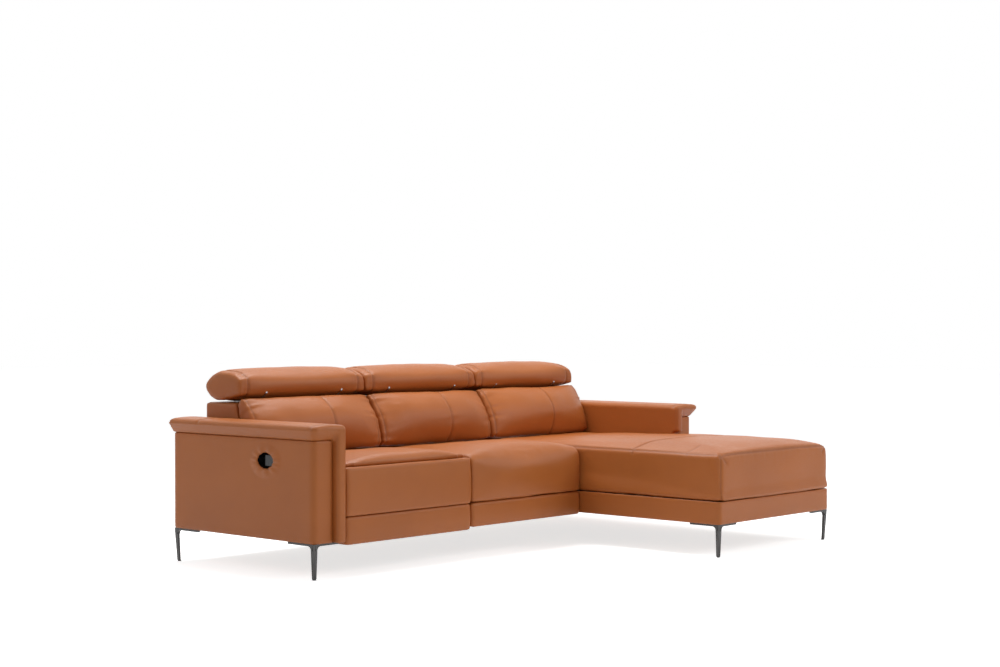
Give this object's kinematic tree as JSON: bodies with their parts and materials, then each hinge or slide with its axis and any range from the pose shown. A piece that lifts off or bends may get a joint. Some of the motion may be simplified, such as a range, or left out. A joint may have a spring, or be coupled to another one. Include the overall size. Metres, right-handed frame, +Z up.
{
  "type": "corner sofa",
  "caption": "Leather corner sofa with a chaise on the right, a manual recliner on the left and folding headrests.",
  "frame": {"origin": "on the floor, at the middle of the footprint's bounding box", "axes": "+X to the chaise's side, as seen by someone facing the sofa, +Y to the sofa's back, +Z up"},
  "size_m": [2.58, 1.7099, 0.8192],
  "materials": {
    "leather": "smooth tan leather, semi-gloss",
    "timber": "sawn pine and plywood",
    "webbing": "woven elastic webbing",
    "black_steel": "black powder coat",
    "zinc_steel": "zinc plated",
    "dark_metal": "dark polished metal",
    "black_plastic": "moulded"
  },
  "bodies": {
    "sofa": {"back_2_cover": "leather", "back_2_cushion": "leather", "back_2_frame": "timber", "back_3_cover": "leather", "back_3_cushion": "leather", "back_3_frame": "timber", "base_rear_panels": "leather", "chaise_base_band": "leather", "chaise_base_frame": "timber", "chaise_cushion": "leather", "chaise_webbing": "webbing", "headrest_2_hinge_brackets": "zinc_steel", "headrest_3_hinge_brackets": "zinc_steel", "left_arm_frame": "timber", "left_arm_pad": "leather", "left_arm_panel": "leather", "leg_chaise_left": "dark_metal", "leg_chaise_right": "dark_metal", "leg_front_left": "dark_metal", "leg_pads": "black_plastic", "leg_rear_left": "dark_metal", "leg_rear_right": "dark_metal", "leg_screws": "zinc_steel", "mech_base_channels": "black_steel", "release_cable": "black_plastic", "release_cup": "black_plastic", "release_latch": "zinc_steel", "right_arm_frame": "timber", "right_arm_pad": "leather", "right_arm_panel": "leather", "seat_2_band": "leather", "seat_2_cushion": "leather", "seat_2_webbing": "webbing", "seat_base_frame": "timber", "sofa_connectors": "zinc_steel", "support_legs": "black_plastic"},
    "recliner_seat": {"seat_1_frame": "timber", "seat_1_webbing": "webbing", "seat_1_cushion": "leather", "mech_side_plates": "black_steel", "mech_glides": "black_plastic"},
    "backrest_1": {"back_1_cover": "leather", "back_1_frame": "timber", "back_1_cushion": "leather", "back_1_brackets": "black_steel", "headrest_1_hinge_brackets": "zinc_steel"},
    "headrest_body_1": {"headrest_1": "leather", "headrest_1_hinge_arms": "zinc_steel"},
    "headrest_body_2": {"headrest_2": "leather", "headrest_2_hinge_arms": "zinc_steel"},
    "headrest_body_3": {"headrest_3": "leather", "headrest_3_hinge_arms": "zinc_steel"},
    "footrest_lower_body": {"drive_tube": "black_steel", "footrest_lower_links": "black_steel"},
    "footrest_upper_body": {"footrest_upper_links": "black_steel"},
    "footrest_body": {"footrest_brackets": "black_steel", "footrest_board": "timber", "footrest_pad": "leather", "footrest_band": "leather"},
    "release_lever_body": {"release_lever": "black_plastic"}
  },
  "joints": [
    {"name": "seat_slide", "type": "slide", "parent": "sofa", "child": "recliner_seat", "axis": [0, -1, 0], "range_m": [0, 0.11]},
    {"name": "back_recline", "type": "hinge", "parent": "recliner_seat", "child": "backrest_1", "pos_m": [-0.74, 0.595, 0.372], "axis": [-1, 0, 0], "range_deg": [0, 22]},
    {"name": "footrest_open", "type": "hinge", "parent": "recliner_seat", "child": "footrest_lower_body", "pos_m": [-0.74, 0.105, 0.295], "axis": [-1, 0, 0], "range_deg": [0, 130]},
    {"name": "footrest_upper_link", "type": "hinge", "parent": "footrest_lower_body", "child": "footrest_upper_body", "pos_m": [-0.74, 0.21398, 0.13936], "axis": [-1, 0, 0], "range_deg": [-176.13, 0]},
    {"name": "footrest_board_turn", "type": "hinge", "parent": "footrest_upper_body", "child": "footrest_body", "pos_m": [-0.74, 0.05, 0.321], "axis": [-1, 0, 0], "range_deg": [0, 136.13]},
    {"name": "release_pull", "type": "hinge", "parent": "sofa", "child": "release_lever_body", "pos_m": [-1.249, 0.212, 0.462], "axis": [0, 0, 1], "range_deg": [0, 25], "stiffness_Nm_per_rad": 0.5, "springref_deg": -17.19},
    {"name": "headrest_1_tilt", "type": "hinge", "parent": "backrest_1", "child": "headrest_body_1", "pos_m": [-0.74, 0.61, 0.722], "axis": [1, 0, 0], "range_deg": [0, 75]},
    {"name": "headrest_2_tilt", "type": "hinge", "parent": "sofa", "child": "headrest_body_2", "pos_m": [0, 0.61, 0.722], "axis": [1, 0, 0], "range_deg": [0, 75]},
    {"name": "headrest_3_tilt", "type": "hinge", "parent": "sofa", "child": "headrest_body_3", "pos_m": [0.74, 0.61, 0.722], "axis": [1, 0, 0], "range_deg": [0, 75]}
  ],
  "couplings": [
    {"joint": "back_recline", "follows": "seat_slide", "rad_per_m": 3.49},
    {"joint": "footrest_upper_link", "follows": "footrest_open", "ratio": -1.3533},
    {"joint": "footrest_board_turn", "follows": "footrest_open", "ratio": 1.0456}
  ]
}
